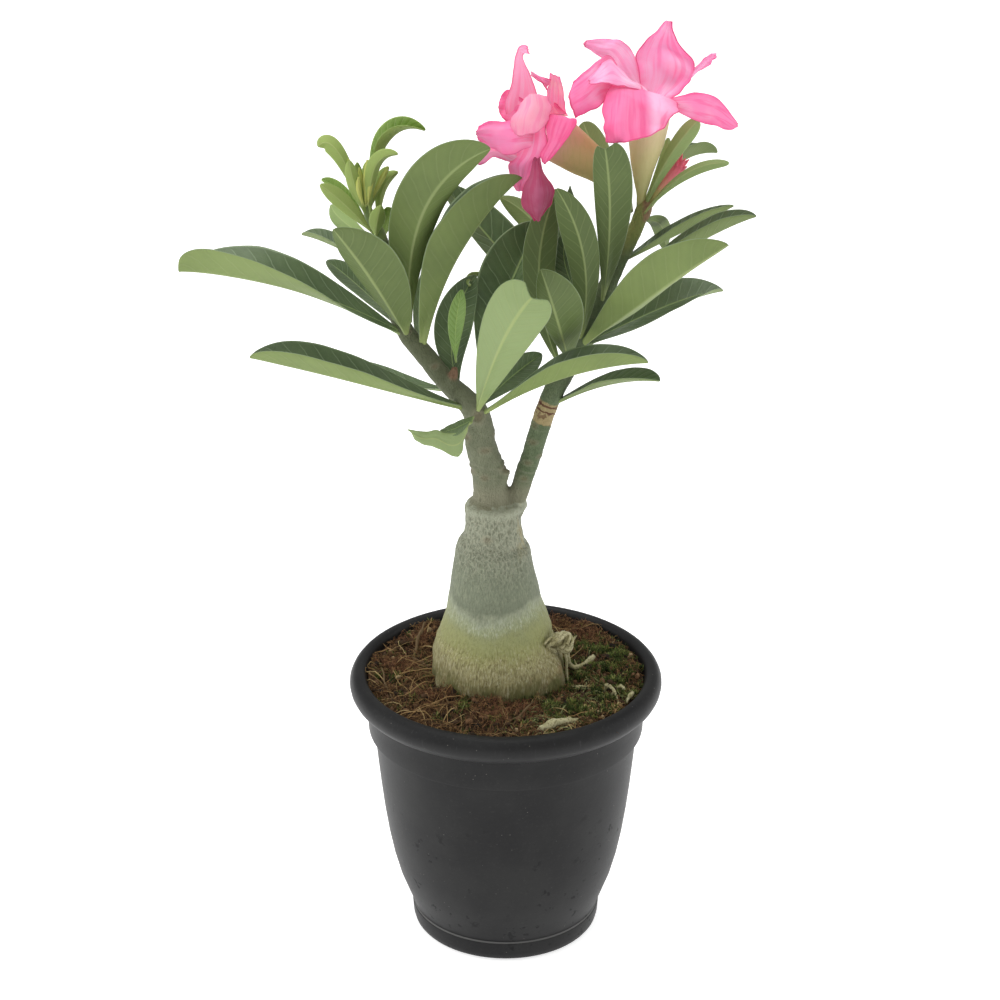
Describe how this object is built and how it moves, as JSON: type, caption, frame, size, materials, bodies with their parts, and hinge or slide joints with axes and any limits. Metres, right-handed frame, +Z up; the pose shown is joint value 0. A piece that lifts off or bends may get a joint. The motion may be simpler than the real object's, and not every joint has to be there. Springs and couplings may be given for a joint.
{
  "type": "potted desert rose plant",
  "caption": "Desert rose with a swollen trunk, forked leafy branches and pink trumpet flowers, growing in soil in a round tapered nursery pot.",
  "frame": {"origin": "centre of the pot's underside, in the plane that it stands on", "axes": "+Z up, +X to the viewer's right and +Y away from the viewer, who sees the fork of the two branches spread out"},
  "size_m": [0.2602, 0.152, 0.4521],
  "materials": {
    "pot": "matte black plastic, lightly scuffed, slightly dusty in its lower half",
    "soil": "damp brown coir and peat with straw fibres and patches of green moss",
    "bark": "grey-green bark, rough and finely cracked low down, smooth above, with leaf scars",
    "root": "dry, pale tan, woody",
    "leaf": "leathery, deep green and glossy above, pale grey-green and matte below",
    "young": "soft bright yellow-green young leaves with a low gloss",
    "petal": "silky pink, deeper towards the margins and paler at the throat",
    "tube": "soft cream to yellow-green, tinged with pink and olive",
    "bud": "soft deep coral pink on a green stalk"
  },
  "bodies": {
    "root": {"pot": "pot", "trunk": "bark", "soil": "soil", "side_root": "root", "leaf_left_1": "leaf", "leaf_left_2": "leaf", "leaf_left_3": "leaf", "leaf_left_4": "leaf", "leaf_left_5": "leaf", "leaf_left_6": "leaf", "leaf_left_7": "leaf", "leaf_left_8": "leaf", "leaf_left_9": "leaf", "leaf_left_10": "leaf", "leaf_left_11": "leaf", "leaf_fork_1": "leaf", "leaf_fork_2": "leaf", "leaf_fork_3": "leaf", "leaf_fork_4": "leaf", "leaf_fork_5": "leaf", "leaf_fork_6": "leaf", "leaf_middle_1": "leaf", "leaf_middle_2": "leaf", "leaf_middle_3": "leaf", "leaf_middle_4": "leaf", "leaf_right_1": "leaf", "leaf_right_2": "leaf", "leaf_right_3": "leaf", "leaf_right_4": "leaf", "leaf_right_5": "leaf", "leaf_right_6": "leaf", "leaf_right_7": "leaf", "leaf_right_8": "leaf", "leaf_right_9": "leaf", "leaf_right_10": "leaf", "leaf_right_11": "leaf", "leaf_right_12": "leaf", "leaf_top_1": "leaf", "leaf_top_2": "leaf", "leaf_top_3": "leaf", "leaf_top_4": "leaf", "young_leaves": "young", "tube_right": "tube", "tube_left": "tube", "petal_right_1": "petal", "petal_right_2": "petal", "petal_right_3": "petal", "petal_right_4": "petal", "petal_right_5": "petal", "petal_right_6": "petal", "petal_left_1": "petal", "petal_left_2": "petal", "petal_left_3": "petal", "petal_left_4": "petal", "petal_left_5": "petal", "petal_left_6": "petal", "petal_left_7": "petal", "petal_left_8": "petal", "bud": "bud"}
  },
  "joints": []
}
